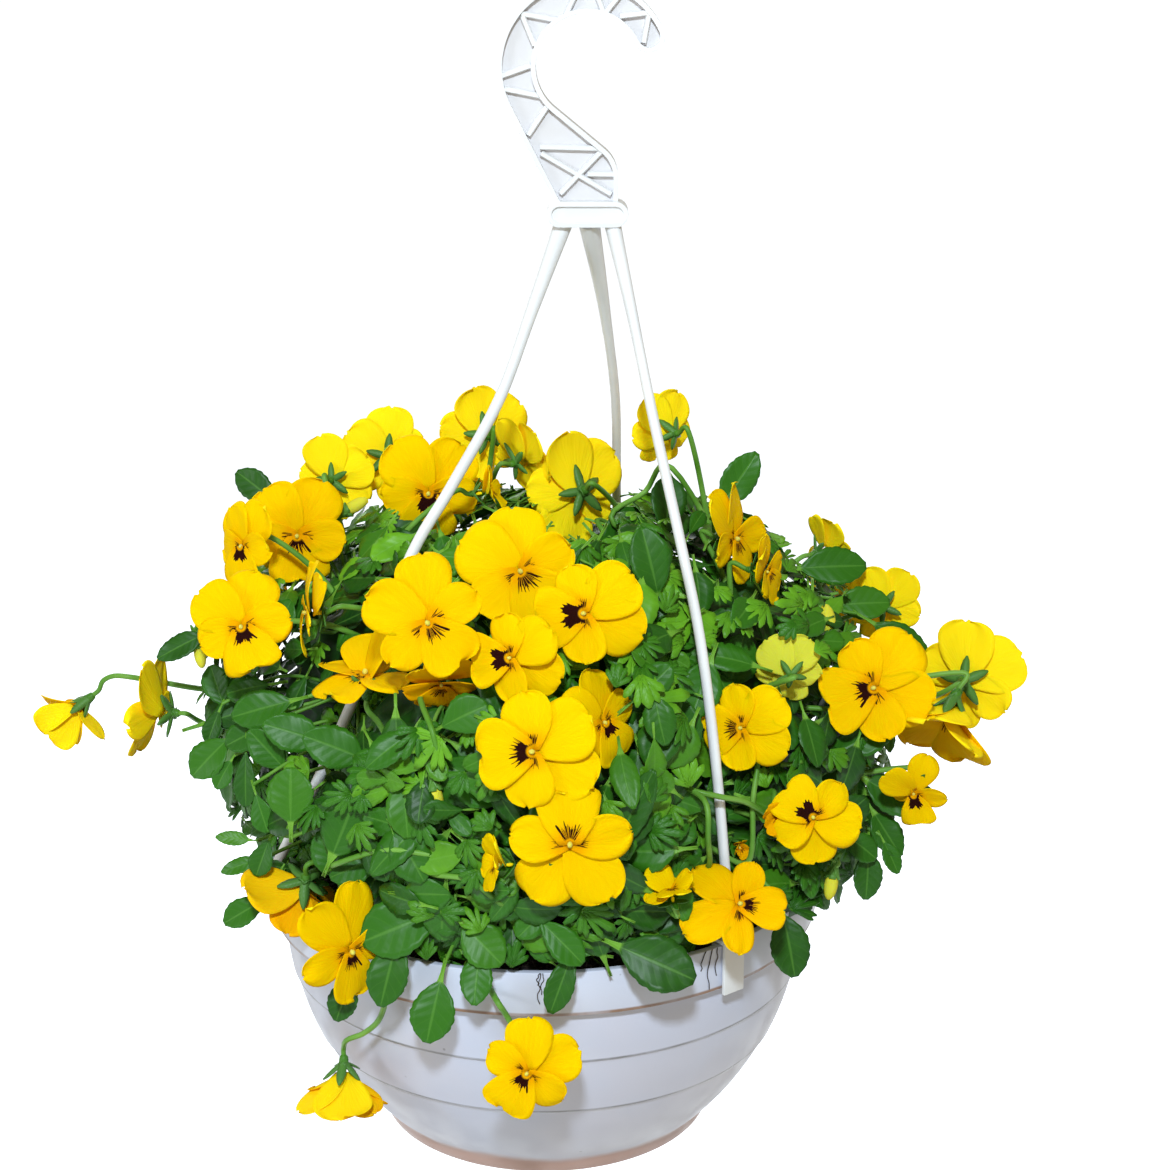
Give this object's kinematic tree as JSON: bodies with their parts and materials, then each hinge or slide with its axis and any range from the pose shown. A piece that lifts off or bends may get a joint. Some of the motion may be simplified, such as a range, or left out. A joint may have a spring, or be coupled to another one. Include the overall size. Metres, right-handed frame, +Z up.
{
  "type": "potted horned violet",
  "caption": "Yellow-flowered horned violets in a round white hanging pot with a strap hanger, rim clips and a ribbed hook.",
  "frame": {"origin": "centre of the pot's foot, on its underside", "axes": "+Z up along the pot's axis towards the hook, -Y towards the viewer, +X to the viewer's right"},
  "size_m": [0.3974, 0.299, 0.4737],
  "materials": {
    "white_plastic": "satin",
    "pot_plastic": "satin",
    "soil": "matte",
    "foliage": "satin",
    "petal_yellow": "matte"
  },
  "bodies": {
    "root": {"pot": "pot_plastic", "soil": "soil", "hanger": "white_plastic", "plant_front": "foliage", "plant_right": "foliage", "plant_left": "foliage", "bloom_01": "petal_yellow", "bloom_02": "petal_yellow", "bloom_03": "petal_yellow", "bloom_04": "petal_yellow", "bloom_05": "petal_yellow", "bloom_06": "petal_yellow", "bloom_07": "petal_yellow", "bloom_08": "petal_yellow", "bloom_09": "petal_yellow", "bloom_10": "petal_yellow", "bloom_11": "petal_yellow", "bloom_12": "petal_yellow", "bloom_13": "petal_yellow", "bloom_14": "petal_yellow", "bloom_15": "petal_yellow", "bloom_16": "petal_yellow", "bloom_17": "petal_yellow", "bloom_18": "petal_yellow", "bloom_19": "petal_yellow", "bloom_20": "petal_yellow", "bloom_21": "petal_yellow", "bloom_22": "petal_yellow", "bloom_23": "petal_yellow", "bloom_24": "petal_yellow", "bloom_25": "petal_yellow", "bloom_26": "petal_yellow", "bloom_27": "petal_yellow", "bloom_28": "petal_yellow", "bloom_29": "petal_yellow", "bloom_30": "petal_yellow", "bloom_31": "petal_yellow", "bloom_32": "petal_yellow", "bloom_33": "petal_yellow", "bloom_34": "petal_yellow", "bloom_35": "petal_yellow", "bloom_36": "petal_yellow", "bloom_37": "petal_yellow", "bloom_38": "petal_yellow", "bloom_39": "petal_yellow", "bloom_40": "petal_yellow", "bloom_41": "petal_yellow", "bloom_42": "petal_yellow", "bloom_43": "petal_yellow", "bloom_44": "petal_yellow", "bloom_45": "petal_yellow", "bloom_46": "petal_yellow", "bloom_47": "petal_yellow", "bloom_48": "petal_yellow", "bloom_49": "petal_yellow", "bloom_50": "petal_yellow", "bloom_51": "petal_yellow"}
  },
  "joints": []
}
